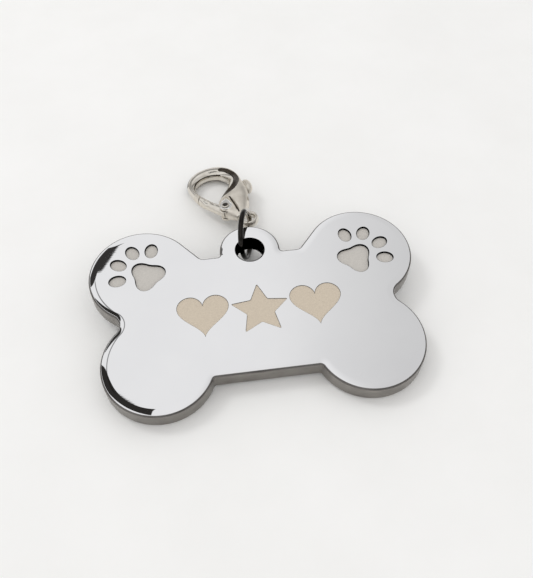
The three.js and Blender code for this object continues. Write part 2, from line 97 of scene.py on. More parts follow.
# Sizes of the jump ring and the clasp, as in the CAD. The clasp's own frame has its origin in the
# eye, +Y to the hook's top and +X to the side of the thumb tab.
WIRE = 0.8
RING_R = (8.0 - WIRE) / 2
BUTT_GAP = 0.12
BUTT_ANGLE = math.radians(-70)
RING_YAW = math.radians(15)
RING_LEAN = math.radians(-8)
RING_ALONG_TAB = -0.33
RING_PULL = 0.75
RING_LIFT = 0.12
EYE_DROP = math.radians(-10)
EYE_PULL = 0.28
EYE_OD = 3.2
EYE_HOLE = 1.9
EYE_T = 1.3
CLASP_YAW = math.radians(30)
HOOK_OUTER = (1.15, 11.5, 4.45)
HOOK_OPENING = (0.5, 10.75, 2.95)
HOOK_TIP = ((-2.42, 9.8), (-3.45, 9.2))
HOOK_ANGLES = (180.0, -16.0)
TIP_HALF_T = 0.85
TOP_HALF_T = 0.92
ROOT_HALF_T = 1.25
SECTION_POWER = 0.8
BELLY_HALF_T = 1.65
PIVOT = (-1.35, 4.2)
LAND_R, LAND_TIP, LAND_ANGLE, LAND_HALF_T = 1.1, 2.05, 52.0, 1.2
BOSS_R = 0.95
THUMB = (4.95, 7.2)
THUMB_SIZE = (0.85, 1.6, 0.95)
THUMB_ANGLE = 70.0
OPEN_ANGLE = 22.0
SLOT_T = 1.6
GATE_HALF_T = 0.625
TIP_GAP = 0.16
RIVET_R = 0.42
RIVET_PLAY = 0.06
RIVET_BORE_R = RIVET_R + RIVET_PLAY
RIVET_HEAD = (0.62, 0.22)
SPRING_WIRE = 0.2
SPRING_OD = 1.15
SPRING_TURNS = 2
SPRING_X = 1.7
SPRING_SEAT_GAP = 0.1
TAIL_HALF_W = 0.5
SLOT_CLEARANCE = 0.22
HUB_R = 1.0
THUMB_CLEARANCE = 0.25

# Finer sizes than the CAD's: soft lips and corners.
PAW_LIP = 0.05
HUB_ROUND = 0.05

# Furrows and finish of the castings. A furrow is cut by a bar of the first radius, whose middle
# lies the second length above the furrow's path. The dish's ends are measured from the thumb tab.
VALLEY_BAR = (0.6, 0.36)
NECK_BAR = (0.22, 0.1)
GROOVE_BAR = (0.3, 0.12)
DISH_BAR = (0.28, 0.1)
VALLEY_ANGLES = (34, -104)
VALLEY_OUT = 1.12
VALLEY_HEIGHTS = (0.98, 1.58)
VALLEY_HALF_W = 0.5
NECK_ENDS = (Vector((0.25, 5.2, 1.5)), Vector((0.0, 3.3, 1.3)), Vector((-0.4, 1.9, 0.85)))
NECK_HALF_W = 0.15
GROOVE_ENDS = (Vector((-1.9, 5.6, 0.72)), Vector((-2.75, 8.9, 0.9)))
DISH_ENDS = (Vector((-0.25, -0.8, 0.9)), Vector((0.3, 0.8, 0.9)))
SATIN_Y = (1.6, 10.6)
CUTTER_REACH = 5.0
BODY_VOXEL = 0.05
GATE_VOXEL = 0.045


def node_middle(name):
    obj = frame["nodes"][name]
    corners = [obj.matrix_world @ Vector(c) for c in obj.bound_box]
    low = Vector([min(c[k] for c in corners) for k in range(3)])
    high = Vector([max(c[k] for c in corners) for k in range(3)])
    return (low + high) / 2 / MM


def placements():
    """Where the tag, the ring and the clasp rest, worked out as the CAD does."""
    ring_height = RING_R * math.cos(RING_LEAN) + WIRE / 2
    rim_y = TAB[1] + HOLE_R + (TAB[2] - HOLE_R) / 2
    edge_y = LOWER[1] - LOWER[2] + BACK_CHAMFER
    half, reach = PLATE_T / 2, math.hypot(rim_y - edge_y, PLATE_T / 2)
    tilt = math.asin((ring_height - RING_LIFT) / reach) - math.atan2(half, rim_y - edge_y)
    tag = Matrix.Translation((0, edge_y - edge_y * math.cos(tilt), -edge_y * math.sin(tilt)))
    tag = tag @ Matrix.Rotation(tilt, 4, "X")
    at = tag @ Vector((RING_ALONG_TAB, rim_y, half))
    at += Vector((math.sin(RING_YAW), math.cos(RING_YAW), 0)) * RING_PULL
    at.z = ring_height
    turn = Matrix.Rotation(-RING_YAW, 4, "Z") @ Matrix.Rotation(RING_LEAN, 4, "Y")
    ring = Matrix.Translation(at) @ turn
    eye = ring @ Vector((0, RING_R * math.cos(EYE_DROP), RING_R * math.sin(EYE_DROP)))
    hook_top = HOOK_OUTER[1] + (HOOK_OUTER[2] + HOOK_OPENING[2]) / 2
    sag = math.asin((eye.z - TOP_HALF_T) / hook_top)
    turn = Matrix.Rotation(CLASP_YAW, 4, "Z") @ Matrix.Rotation(-sag, 4, "X")
    clasp = Matrix.Translation(eye) @ turn @ Matrix.Translation((0, EYE_PULL, 0))
    shift = node_middle("jump_ring") - at
    move = Matrix.Translation((0, shift.y, shift.z))
    return move @ tag, move @ ring, move @ clasp


TAG, RING, CLASP = placements()


# Helpers for node materials


def material(name):
    m = bpy.data.materials.new(name)
    m.use_nodes = True
    return m, m.node_tree.nodes, m.node_tree.links, m.node_tree.nodes["Principled BSDF"]


def object_coords(nodes):
    return nodes.new("ShaderNodeTexCoord").outputs["Object"]


def mapped(nodes, links, vector, scale=(1, 1, 1), rotation=(0, 0, 0)):
    n = nodes.new("ShaderNodeMapping")
    n.inputs["Scale"].default_value = scale
    n.inputs["Rotation"].default_value = rotation
    links.new(vector, n.inputs["Vector"])
    return n.outputs["Vector"]


def noise(nodes, links, vector, scale, detail=3.0, rough=0.5):
    n = nodes.new("ShaderNodeTexNoise")
    n.inputs["Scale"].default_value = scale
    n.inputs["Detail"].default_value = detail
    n.inputs["Roughness"].default_value = rough
    links.new(vector, n.inputs["Vector"])
    return n.outputs["Fac"]


def ramp(nodes, links, value, stops):
    n = nodes.new("ShaderNodeValToRGB")
    elements = n.color_ramp.elements
    while len(elements) < len(stops):
        elements.new(0.5)
    for e, (at, colour) in zip(elements, stops):
        e.position = at
        e.color = (*colour, 1) if len(colour) == 3 else colour
    links.new(value, n.inputs["Fac"])
    return n.outputs["Color"]


def spread(nodes, links, value, low, high, lo_in=0.3, hi_in=0.7):
    n = nodes.new("ShaderNodeMapRange")
    n.inputs["From Min"].default_value = lo_in
    n.inputs["From Max"].default_value = hi_in
    n.inputs["To Min"].default_value = low
    n.inputs["To Max"].default_value = high
    links.new(value, n.inputs["Value"])
    return n.outputs["Result"]


def bump(nodes, links, height, bsdf, distance, under=None):
    n = nodes.new("ShaderNodeBump")
    n.inputs["Distance"].default_value = distance
    n.inputs["Strength"].default_value = 1.0
    links.new(height, n.inputs["Height"])
    if under is not None:
        links.new(under, n.inputs["Normal"])
    if bsdf is not None:
        links.new(n.outputs["Normal"], bsdf.inputs["Normal"])
    return n.outputs["Normal"]


def metal(name, light, dark, rough_low, rough_high, grain, wave, cell=900.0):
    """A metal with blotchy tone, cloudy roughness, long shallow waves and fine grain."""
    m, nodes, links, bsdf = material(name)
    at = object_coords(nodes)
    bsdf.inputs["Metallic"].default_value = 1.0
    tone = noise(nodes, links, at, cell, 4)
    links.new(ramp(nodes, links, tone, [(0.3, dark), (0.7, light)]), bsdf.inputs["Base Color"])
    cloud = noise(nodes, links, at, cell * 0.6, 5)
    links.new(spread(nodes, links, cloud, rough_low, rough_high), bsdf.inputs["Roughness"])
    low = bump(nodes, links, noise(nodes, links, at, cell * 0.35, 1), None, wave)
    bump(nodes, links, noise(nodes, links, at, cell * 9, 2), bsdf, grain, under=low)
    return m


def polished_face():
    m, nodes, links, bsdf = material("polished_face")
    at = object_coords(nodes)
    bsdf.inputs["Metallic"].default_value = 1.0
    tone = noise(nodes, links, at, 90, 3)
    colours = [(0.3, (0.86, 0.86, 0.87)), (0.7, (0.9, 0.9, 0.905))]
    links.new(ramp(nodes, links, tone, colours), bsdf.inputs["Base Color"])
    lines = noise(nodes, links, mapped(nodes, links, at, (60, 5200, 60), (0, 0, 0.5)), 1.0, 3)
    links.new(spread(nodes, links, lines, 0.008, 0.02), bsdf.inputs["Roughness"])
    low = bump(nodes, links, noise(nodes, links, at, 120, 1), None, 5e-6)
    bump(nodes, links, lines, bsdf, 2e-7, under=low)
    return m


def side_wall():
    """The cut edge: satin, grey-brown, with fine lines that run round the plate."""
    m, nodes, links, bsdf = material("side_wall")
    at = object_coords(nodes)
    bsdf.inputs["Metallic"].default_value = 1.0
    lines = noise(nodes, links, mapped(nodes, links, at, (120, 120, 6500)), 1.0, 3)
    blotch = noise(nodes, links, at, 420, 4)
    half = nodes.new("ShaderNodeMath")
    half.operation = "MULTIPLY"
    half.inputs[1].default_value = 0.5
    links.new(blotch, half.inputs[0])
    both = nodes.new("ShaderNodeMath")
    both.operation = "MULTIPLY_ADD"
    both.inputs[1].default_value = 0.5
    links.new(lines, both.inputs[0])
    links.new(half.outputs[0], both.inputs[2])
    colours = [(0.3, (0.21, 0.195, 0.18)), (0.7, (0.37, 0.35, 0.325))]
    links.new(ramp(nodes, links, both.outputs[0], colours), bsdf.inputs["Base Color"])
    links.new(spread(nodes, links, lines, 0.26, 0.42), bsdf.inputs["Roughness"])
    bump(nodes, links, lines, bsdf, 6e-6)
    return m


def matt_floor(name, light, dark, rough, grain):
    """A matt sunk surface, speckled by what cut it."""
    m, nodes, links, bsdf = material(name)
    at = object_coords(nodes)
    bsdf.inputs["Metallic"].default_value = 0.25
    speck = noise(nodes, links, at, 5200, 4, 0.7)
    links.new(ramp(nodes, links, speck, [(0.3, dark), (0.7, light)]), bsdf.inputs["Base Color"])
    links.new(spread(nodes, links, speck, rough, rough + 0.15), bsdf.inputs["Roughness"])
    bump(nodes, links, speck, bsdf, grain)
    return m


# Helpers for meshes


def full_turn(count):
    """Angles at even steps of a full turn."""
    return [2 * math.pi * i / count for i in range(count)]


def quarter(steps, reach=math.pi / 2):
    """Sine and cosine at even steps of a quarter turn, or of a lesser reach."""
    return [(math.sin(reach * k / steps), math.cos(reach * k / steps)) for k in range(steps + 1)]


class Builder:
    """Collects points with their own normals, and faces with a material each."""

    def __init__(self):
        self.points = []
        self.normals = []
        self.faces = []
        self.slots = []

    def ring(self, flat, normals2d, inset, z, out, up):
        first = len(self.points)
        for p, n in zip(flat, normals2d):
            self.points.append(Vector((p.x - n.x * inset, p.y - n.y * inset, z)))
            self.normals.append(Vector((n.x * out, n.y * out, up)).normalized())
        return list(range(first, len(self.points)))

    def bridge(self, low, high, slot, flip=False):
        count = len(low)
        for i in range(count):
            j = (i + 1) % count
            face = (low[i], low[j], high[j], high[i])
            self.faces.append(face[::-1] if flip else face)
            self.slots.append(slot)

    def fill(self, loops, slot, flip=False):
        index = [i for loop in loops for i in loop]
        flat = [[self.points[i].to_2d().to_3d() for i in loop] for loop in loops]
        for tri in geometry.tessellate_polygon(flat):
            a, b, c = (index[k] for k in tri)
            pa, pb, pc = (self.points[k] for k in (a, b, c))
            turn = (pb - pa).to_2d().cross((pc - pa).to_2d())
            if abs(turn) < 1e-12:
                continue
            face = (a, b, c) if turn > 0 else (a, c, b)
            self.faces.append(face[::-1] if flip else face)
            self.slots.append(slot)

    def build(self, name, matrix, materials):
        mesh = bpy.data.meshes.new(name)
        turn = matrix.to_3x3()
        mesh.from_pydata([tuple((matrix @ p) * MM) for p in self.points], [], self.faces)
        mesh.polygons.foreach_set("material_index", self.slots)
        mesh.polygons.foreach_set("use_smooth", [True] * len(self.faces))
        mesh.update()
        mesh.normals_split_custom_set_from_vertices([tuple(turn @ n) for n in self.normals])
        for m in materials:
            mesh.materials.append(m)
        obj = bpy.data.objects.new(name, mesh)
        bpy.context.collection.objects.link(obj)
        return obj


def arc(cx, cy, r, start, end, step=3.0):
    """Points on an arc between two angles in degrees."""
    n = max(4, math.ceil(abs(end - start) / step))
    turns = [math.radians(start + (end - start) * i / n) for i in range(n + 1)]
    return [Vector((cx + r * math.cos(a), cy + r * math.sin(a))) for a in turns]


def bearing(a, b):
    return math.degrees(math.atan2(b[1] - a[1], b[0] - a[0]))


def plate_outline():
    """The plate's outline, counter-clockwise: its right half, and that half mirrored."""
    level = VALLEY_Y + CORNER_R
    tab_fillet = (math.sqrt((TAB[2] + CORNER_R) ** 2 - (level - TAB[1]) ** 2), level)
    fy = VALLEY_Y + FLANK_R
    reach = UPPER[2] + FLANK_R - (fy - UPPER[1]) * math.sin(FLANK)
    flank_fillet = (UPPER[0] + reach / math.cos(FLANK), fy)
    apart = math.dist(UPPER[:2], LOWER[:2])
    ru, rl = UPPER[2] + NOTCH_R, LOWER[2] + NOTCH_R
    along = (apart**2 + ru**2 - rl**2) / (2 * apart)
    out = math.sqrt(ru**2 - along**2)
    dx, dy = (LOWER[0] - UPPER[0]) / apart, (LOWER[1] - UPPER[1]) / apart
    notch = (UPPER[0] + dx * along - dy * out, UPPER[1] + dy * along + dx * out)
    by = BOTTOM_Y - CORNER_R
    bottom = (LOWER[0] - math.sqrt((LOWER[2] + CORNER_R) ** 2 - (by - LOWER[1]) ** 2), by)
    runs = (
        arc(*TAB, 90, bearing(TAB, tab_fillet))
        + arc(*tab_fillet, CORNER_R, bearing(tab_fillet, TAB), 270, 8)
        + arc(*flank_fillet, FLANK_R, -90, math.degrees(FLANK) - 180, 6)
        + arc(*UPPER, math.degrees(FLANK), bearing(UPPER, notch), 2)
        + arc(*notch, NOTCH_R, bearing(notch, UPPER), bearing(notch, LOWER) + 360, 4)
        + arc(*LOWER, bearing(LOWER, notch), bearing(LOWER, bottom), 2)
        + arc(*bottom, CORNER_R, bearing(bottom, LOWER), 90, 8)
    )
    right = []
    for p in runs:
        if not right or (p - right[-1]).length > 1e-4:
            right.append(p)
    left = [Vector((-p.x, p.y)) for p in reversed(right)]
    return list(reversed(right + left[:-1] if (left[-1] - right[0]).length < 1e-4 else right + left))


def outline_normals(flat):
    """Outward normals of a counter-clockwise loop."""
    made = []
    for i, p in enumerate(flat):
        back = (p - flat[i - 1]).normalized()
        on = (flat[(i + 1) % len(flat)] - p).normalized()
        t = (back + on).normalized()
        made.append(Vector((t.y, -t.x)))
    return made


def paw_outlines():
    """The right paw print: a three-lobed pad and four oval toes."""
    pad = []
    for a in full_turn(72):
        r = PAW_R * (1 + PAW_LOBED * math.cos(3 * (a - math.radians(PAW_TURN))))
        pad.append(Vector((PAW[0] + r * math.cos(a), PAW[1] + r * math.sin(a))))
    loops = [pad]
    for k, reach in enumerate(TOE_REACH):
        at = math.radians(PAW_TURN + (k - 1.5) * TOE_STEP)
        toe = []
        for a in full_turn(48):
            u, v = reach + TOE[0] / 2 * math.cos(a), TOE[1] / 2 * math.sin(a)
            x = PAW[0] + u * math.cos(at) - v * math.sin(at)
            toe.append(Vector((x, PAW[1] + u * math.sin(at) + v * math.cos(at))))
        loops.append(toe)
    return loops


def heart(cx, cy, size):
    """A heart as wide as size, counter-clockwise."""
    curve_width, curve_middle = 32, -2.5
    made = []
    for t in full_turn(96):
        x = 16 * math.sin(t) ** 3
        y = 13 * math.cos(t) - 5 * math.cos(2 * t) - 2 * math.cos(3 * t) - math.cos(4 * t)
        y -= curve_middle
        made.append(Vector((cx + x * size / curve_width, cy + y * size / curve_width)))
    return list(reversed(made))


def star(cx, cy, size):
    """A five-pointed star with blunt tips, counter-clockwise."""
    inner_share, tip_cut, notch_cut = 0.48, 0.1, 0.06
    corners = []
    for k in range(10):
        r = size / 2 if k % 2 == 0 else size / 2 * inner_share
        a = math.radians(90 + 36 * k)
        corners.append(Vector((cx + r * math.cos(a), cy + r * math.sin(a))))
    rounded = []
    for k, p in enumerate(corners):
        before, after = corners[k - 1], corners[(k + 1) % 10]
        cut = tip_cut if k % 2 == 0 else notch_cut
        a, b = p.lerp(before, cut), p.lerp(after, cut)
        for i in range(5):
            t = i / 4
            rounded.append(a * (1 - t) ** 2 + p * 2 * t * (1 - t) + b * t**2)
    dense = []
    for k, p in enumerate(rounded):
        q = rounded[(k + 1) % len(rounded)]
        steps = 6 if (q - p).length > 0.5 else 1
        dense += [p.lerp(q, i / steps) for i in range(steps)]
    return dense


def sink(b, flat, depth, lip, slots):
    """A hollow with a rounded lip, an upright wall and a flat floor. Gives back its top loop."""
    lip_slot, wall_slot, floor_slot = slots
    normals = [-n for n in outline_normals(flat)]
    steps = 4
    loops = []
    for s, c in quarter(steps):
        loops.append(b.ring(flat, normals, lip * (1 - s), PLATE_T - lip * (1 - c), s, c))
    for s, c in quarter(steps):
        loops.append(b.ring(flat, normals, -lip * (1 - c), PLATE_T - depth + lip * (1 - s), c, s))
    for k in range(len(loops) - 1):
        b.bridge(loops[k + 1], loops[k], lip_slot if k < steps else wall_slot)
    floor = b.ring(flat, normals, -lip, PLATE_T - depth, 0, 1)
    b.fill([floor], floor_slot)
    return loops[0]


def tag_hole(b):
    """The round hole's wall, rounded at both faces. Gives back its top loop and its bottom loop."""
    hole = [Vector((TAB[0] + HOLE_R * math.cos(a), TAB[1] + HOLE_R * math.sin(a))) for a in full_turn(96)]
    inward = [-n for n in outline_normals(hole)]
    steps = 5
    loops = []
    for s, c in quarter(steps):
        loops.append(b.ring(hole, inward, HOLE_ROUND * (1 - s), PLATE_T - HOLE_ROUND * (1 - c), s, c))
    for s, c in quarter(steps):
        loops.append(b.ring(hole, inward, HOLE_ROUND * (1 - c), HOLE_ROUND * (1 - s), c, -s))
    for k in range(len(loops) - 1):
        b.bridge(loops[k + 1], loops[k], ON_FACE if k < steps else ON_WALL)
    return loops[0], loops[-1]


def tag_edge(b):
    """The plate's edge, from the back's round over the wall to the face's slope. Gives back the
    first and the last of its loops."""
    outline = plate_outline()
    normals = outline_normals(outline)
    loops = []
    for s, c in quarter(5):
        loops.append(b.ring(outline, normals, BACK_CHAMFER * (1 - s), BACK_CHAMFER * (1 - c), s, -c))
    lean = 2 * SLOPE_DROP / SLOPE_IN
    top = PLATE_T - SLOPE_DROP
    for s, c in quarter(10, math.pi / 2 - lean):
        loops.append(b.ring(outline, normals, EDGE_ROUND * (1 - c), top - EDGE_ROUND * (1 - s), c, s))
    slope_steps = 8
    for k in range(1, slope_steps + 1):
        t = k / slope_steps
        inset = EDGE_ROUND + (SLOPE_IN - EDGE_ROUND) * t
        z = PLATE_T - SLOPE_DROP * (1 - t) ** 2
        loops.append(b.ring(outline, normals, inset, z, lean * (1 - t), 1))
    # The rounded rim between wall and face carries a painted dark reflection.
    rim_from, face_from = 7, 15
    for k in range(len(loops) - 1):
        slot = ON_WALL if k < rim_from else ON_RIM if k < face_from else ON_FACE
        b.bridge(loops[k], loops[k + 1], slot)
    return loops[0], loops[-1]


def tag_plate():
    b = Builder()
    tops = []
    paw_slots = (ON_FACE, ON_PAW_WALL, ON_PAW_FLOOR)
    for loop in paw_outlines():
        right = [Vector((p.x, p.y - PAW_OFF_LEVEL)) for p in loop]
        left = [Vector((-p.x, p.y + PAW_OFF_LEVEL)) for p in reversed(loop)]
        tops.append(sink(b, right, PAW_DEPTH, PAW_LIP, paw_slots))
        tops.append(sink(b, left, PAW_DEPTH, PAW_LIP, paw_slots))
    for shape in (heart(*LEFT_HEART), star(*MIDDLE_STAR), heart(*RIGHT_HEART)):
        tops.append(sink(b, shape, ETCH_DEPTH, ETCH_LIP, (ON_ETCHED, ON_ETCHED, ON_ETCHED)))
    hole_top, hole_bottom = tag_hole(b)
    edge_bottom, edge_top = tag_edge(b)
    b.fill([edge_top, hole_top, *tops], ON_FACE)
    b.fill([edge_bottom, hole_bottom], ON_BACK, flip=True)
    return b.build("tag_piece", TAG, [FACE, WALL, PAW_FLOOR, ETCHED, BACK, PAW_WALL, RIM])


def smooth_object(name, mesh, materials):
    for m in materials:
        mesh.materials.append(m)
    mesh.polygons.foreach_set("use_smooth", [True] * len(mesh.polygons))
    obj = bpy.data.objects.new(name, mesh)
    bpy.context.collection.objects.link(obj)
    return obj


# Shapes of the clasp, in millimetres in the clasp's own frame


def skin(rows, sides):
    """Faces of a closed bar made of rows of points, with its two ends."""
    faces = []
    for k in range(rows - 1):
        for i in range(sides):
            a, b = k * sides + i, k * sides + (i + 1) % sides
            faces.append((a, b, b + sides, a + sides))
    faces.append(tuple(reversed(range(sides))))
    faces.append(tuple(range((rows - 1) * sides, rows * sides)))
    return faces


def catmull(stations, per_span):
    """A smooth run of sections through the given ones."""
    made = []
    last = len(stations) - 1

    def at(k):
        return stations[min(max(k, 0), last)]

    for k in range(last):
        for j in range(per_span):
            t = j / per_span
            row = []
            for a, b, c, d in zip(at(k - 1), at(k), at(k + 1), at(k + 2)):
                cubic = -a + 3 * b - 3 * c + d
                square = 2 * a - 5 * b + 4 * c - d
                row.append(b + 0.5 * t * (c - a + t * (square + t * cubic)))
            made.append(row)
    made.append(list(stations[-1]))
    return made


def blunt(v):
    """Fills out a round section towards a rounded box."""
    return math.copysign(abs(v) ** SECTION_POWER, v)


def loft_mesh(stations, per_span, sides):
    """A bar through sections, each with an inner point, an outer point and half a thickness."""
    rows = catmull(stations, per_span)
    points = []
    for ix, iy, ox, oy, half in rows:
        for a in full_turn(sides):
            t = (1 + blunt(math.cos(a))) / 2
            points.append((ix + (ox - ix) * t, iy + (oy - iy) * t, half * blunt(math.sin(a))))
    return points, skin(len(rows), sides)


def temp(name, points, faces):
    """A closed body in millimetres, to be joined with others or cut from them."""
    mesh = bpy.data.meshes.new(name)
    mesh.from_pydata(points, [], faces)
    mesh.update()
    bm = bmesh.new()
    bm.from_mesh(mesh)
    bmesh.ops.recalc_face_normals(bm, faces=bm.faces)
    bm.to_mesh(mesh)
    bm.free()
    obj = bpy.data.objects.new(name, mesh)
    bpy.context.collection.objects.link(obj)
    return obj


def lathe(name, profile, sides, x=0.0, y=0.0):
    """A body turned about the z axis. The profile runs from axis to axis, or closes on itself."""
    points, faces = [], []
    closed = profile[0] == profile[-1]
    if closed:
        profile = profile[:-1]
    for r, z in profile:
        for a in full_turn(sides):
            points.append((x + r * math.cos(a), y + r * math.sin(a), z))
    rows = len(profile)
    for k in range(rows if closed else rows - 1):
        m = (k + 1) % rows
        for i in range(sides):
            j = (i + 1) % sides
            faces.append((k * sides + i, k * sides + j, m * sides + j, m * sides + i))
    obj = temp(name, points, faces)
    bm = bmesh.new()
    bm.from_mesh(obj.data)
    bmesh.ops.remove_doubles(bm, verts=bm.verts, dist=1e-5)
    bmesh.ops.recalc_face_normals(bm, faces=bm.faces)
    bm.to_mesh(obj.data)
    bm.free()
    return obj


def disc(name, r, half_t, sides, middle=(0.0, 0.0)):
    """A round bar along z, as far below the middle plane as above it."""
    return lathe(name, [(0, -half_t), (r, -half_t), (r, half_t), (0, half_t)], sides, *middle)


def prism(name, flat, low, high):
    n = len(flat)
    points = [(p[0], p[1], low) for p in flat] + [(p[0], p[1], high) for p in flat]
    faces = [tuple(reversed(range(n))), tuple(range(n, 2 * n))]
    faces += [(i, (i + 1) % n, (i + 1) % n + n, i + n) for i in range(n)]
    return temp(name, points, faces)


def combine(base, other, operation):
    mod = base.modifiers.new("join", "BOOLEAN")
    mod.operation = operation
    mod.solver = "EXACT"
    mod.object = other
    depsgraph = bpy.context.evaluated_depsgraph_get()
    made = bpy.data.meshes.new_from_object(base.evaluated_get(depsgraph))
    base.modifiers.clear()
    old = base.data
    base.data = made
    bpy.data.meshes.remove(old)
    bpy.data.objects.remove(other)
    return base


def cast(base, name, voxel, passes, materials, matrix, zone):
    """Rounds a joined form as a casting is rounded, and puts it in its place in metres."""
    mod = base.modifiers.new("remesh", "REMESH")
    mod.mode = "VOXEL"
    mod.voxel_size = voxel
    soft = base.modifiers.new("soft", "SMOOTH")
    soft.factor = 0.5
    soft.iterations = passes
    depsgraph = bpy.context.evaluated_depsgraph_get()
    made = bpy.data.meshes.new_from_object(base.evaluated_get(depsgraph))
    made.name = name
    bpy.data.objects.remove(base)
    zones = [zone(face.center) for face in made.polygons]
    made.polygons.foreach_set("material_index", zones)
    made.transform(Matrix.Scale(MM, 4) @ matrix)
    return smooth_object(name, made, materials)


def hook_section(angle, half):
    """A section of the hook, between its round opening and its round outside."""
    a = math.radians(angle)
    c, s = math.cos(a), math.sin(a)
    return (HOOK_OPENING[0] + HOOK_OPENING[2] * c, HOOK_OPENING[1] + HOOK_OPENING[2] * s,
            HOOK_OUTER[0] + HOOK_OUTER[2] * c, HOOK_OUTER[1] + HOOK_OUTER[2] * s, half)


def body_stations():
    """Sections from the hook's tip round the hook and down the belly to the neck."""
    made = [(*HOOK_TIP[0], *HOOK_TIP[1], TIP_HALF_T)]
    hook_steps = 7
    for k in range(hook_steps + 1):
        t = k / hook_steps
        angle = HOOK_ANGLES[0] + (HOOK_ANGLES[1] - HOOK_ANGLES[0]) * t
        half = TIP_HALF_T + (TOP_HALF_T - TIP_HALF_T) * min(1, 2 * t)
        half += (ROOT_HALF_T - TOP_HALF_T) * max(0, 2 * t - 1)
        made.append(hook_section(angle, half))
    # Down the belly: the section's inner point, its outer point and its share of the thickness.
    for ix, iy, ox, oy, part in (
        (2.5, 8.9, 5.0, 8.7, 0.88),
        (1.2, 7.8, 4.5, 6.6, 0.98),
        (-0.3, 7.0, 3.9, 5.1, 1.0),
        (-1.75, 5.9, 3.1, 3.9, 0.95),
        (-2.4, 4.2, 2.2, 2.9, 0.85),
        (-1.85, 2.7, 1.2, 1.9, 0.66),
    ):
        made.append((ix, iy, ox, oy, BELLY_HALF_T * part))
    made.append((-1.15, 1.4, 0.4, 1.15, EYE_T * 0.45))
    return made


def from_pivot(angle, along, left):
    """A point at a distance from the pivot in a direction, and to the left of that line."""
    a = math.radians(angle)
    return (PIVOT[0] + along * math.cos(a) - left * math.sin(a),
            PIVOT[1] + along * math.sin(a) + left * math.cos(a))


TAIL_ANGLE = bearing(PIVOT, THUMB)


def slot_outline():
    """The slot through the belly, as wide as the lever sweeps, open at the gate and the thumb tab."""
    far, below_tip = 12.0, 0.15
    mouth_x, mouth_y, mouth_along = 1.3, 1.7, 2.2
    tail = TAIL_HALF_W + SLOT_CLEARANCE
    hub = HUB_R + SLOT_CLEARANCE
    top = HOOK_TIP[1][1] - below_tip
    inner = PIVOT[0] + mouth_x
    bottom = [(p.x, p.y) for p in arc(*PIVOT, hub, TAIL_ANGLE - OPEN_ANGLE - 90, -180, 8)]
    return [
        (PIVOT[0] - far, top), (inner, top), (inner, PIVOT[1] + mouth_y),
        from_pivot(TAIL_ANGLE, mouth_along, tail), from_pivot(TAIL_ANGLE, far, tail),
        from_pivot(TAIL_ANGLE - OPEN_ANGLE, far, -tail), *bottom,
        (PIVOT[0] - far, PIVOT[1] - hub),
    ]


def thumb_pad(name, grow, turn=0.0):
    """The oval thumb tab, grown on every side and turned with the gate."""
    side_angles = [math.pi * (i / 16 - 0.5) for i in range(1, 16)]
    profile = [(0, -1)] + [(math.cos(a), math.sin(a)) for a in side_angles] + [(0, 1)]
    obj = lathe(name, profile, 40)
    size = [s + grow for s in THUMB_SIZE]
    place = (
        Matrix.Translation((PIVOT[0], PIVOT[1], 0))
        @ Matrix.Rotation(math.radians(turn), 4, "Z")
        @ Matrix.Translation((THUMB[0] - PIVOT[0], THUMB[1] - PIVOT[1], 0))
        @ Matrix.Rotation(math.radians(THUMB_ANGLE - 90), 4, "Z")
        @ Matrix.Diagonal((*size, 1))
    )
    obj.data.transform(place)
    return obj


def land_outline():
    """The flat round the rivet: a circle drawn out to a point towards the hook."""
    half = math.degrees(math.acos(LAND_R / LAND_TIP))
    round_part = arc(*PIVOT, LAND_R, LAND_ANGLE + half, LAND_ANGLE + 360 - half, 5)
    return [from_pivot(LAND_ANGLE, LAND_TIP, 0)] + [(p.x, p.y) for p in round_part]


def valley_path():
    """The middle of the valley between the hook's inner rim and the belly, with its height."""
    steps = 40
    rise_from, rise_over = 0.15, 0.5
    r = HOOK_OPENING[2] + VALLEY_OUT
    low, high = VALLEY_HEIGHTS
    made = []
    for k in range(steps + 1):
        t = k / steps
        a = math.radians(VALLEY_ANGLES[0] + (VALLEY_ANGLES[1] - VALLEY_ANGLES[0]) * t)
        x, y = HOOK_OPENING[0] + r * math.cos(a), HOOK_OPENING[1] + r * math.sin(a)
        rise = min(1, max(0, (t - rise_from) / rise_over))
        made.append(Vector((x, y, low + (high - low) * rise * rise * (3 - 2 * rise))))
    return made


def neck_path():
    """The hollow beside the rivet's land, down to the neck."""
    steps = 16
    start, middle, end = NECK_ENDS
    made = []
    for k in range(steps + 1):
        t = k / steps
        made.append(start * (1 - t) ** 2 + middle * 2 * t * (1 - t) + end * t**2)
    return made


def straight_path(start, end):
    steps = 12
    return [start.lerp(end, k / steps) for k in range(steps + 1)]


def furrow(name, path, bar, flip=False):
    """A round bar along a path, which cuts a shallow furrow. Its ends rise out of the metal."""
    r, lift = bar
    end_lift, end_share = 0.35, 0.3
    sides = 20
    points = []
    for k, p in enumerate(path):
        on = path[min(k + 1, len(path) - 1)] - path[max(k - 1, 0)]
        side = Vector((-on.y, on.x, 0)).normalized()
        t = k / (len(path) - 1)
        past = max(0, abs(2 * t - 1) - (1 - end_share)) / end_share
        for a in full_turn(sides):
            up = lift + end_lift * past + r * math.sin(a)
            q = p + side * (r * math.cos(a)) + Vector((0, 0, up))
            points.append((q.x, q.y, -q.z if flip else q.z))
    return temp(name, points, skin(len(path), sides))


def near_path(x, y, path):
    return min(math.hypot(x - p.x, y - p.y) for p in path)


def on_land(x, y):
    """True inside the land's teardrop, measured from the pivot."""
    c, s = math.cos(math.radians(LAND_ANGLE)), math.sin(math.radians(LAND_ANGLE))
    along, across = x * c + y * s, abs(y * c - x * s)
    wedge = (LAND_TIP - along) * LAND_R / math.sqrt(LAND_TIP**2 - LAND_R**2)
    return math.hypot(x, y) < LAND_R or (along > 0 and across < wedge)


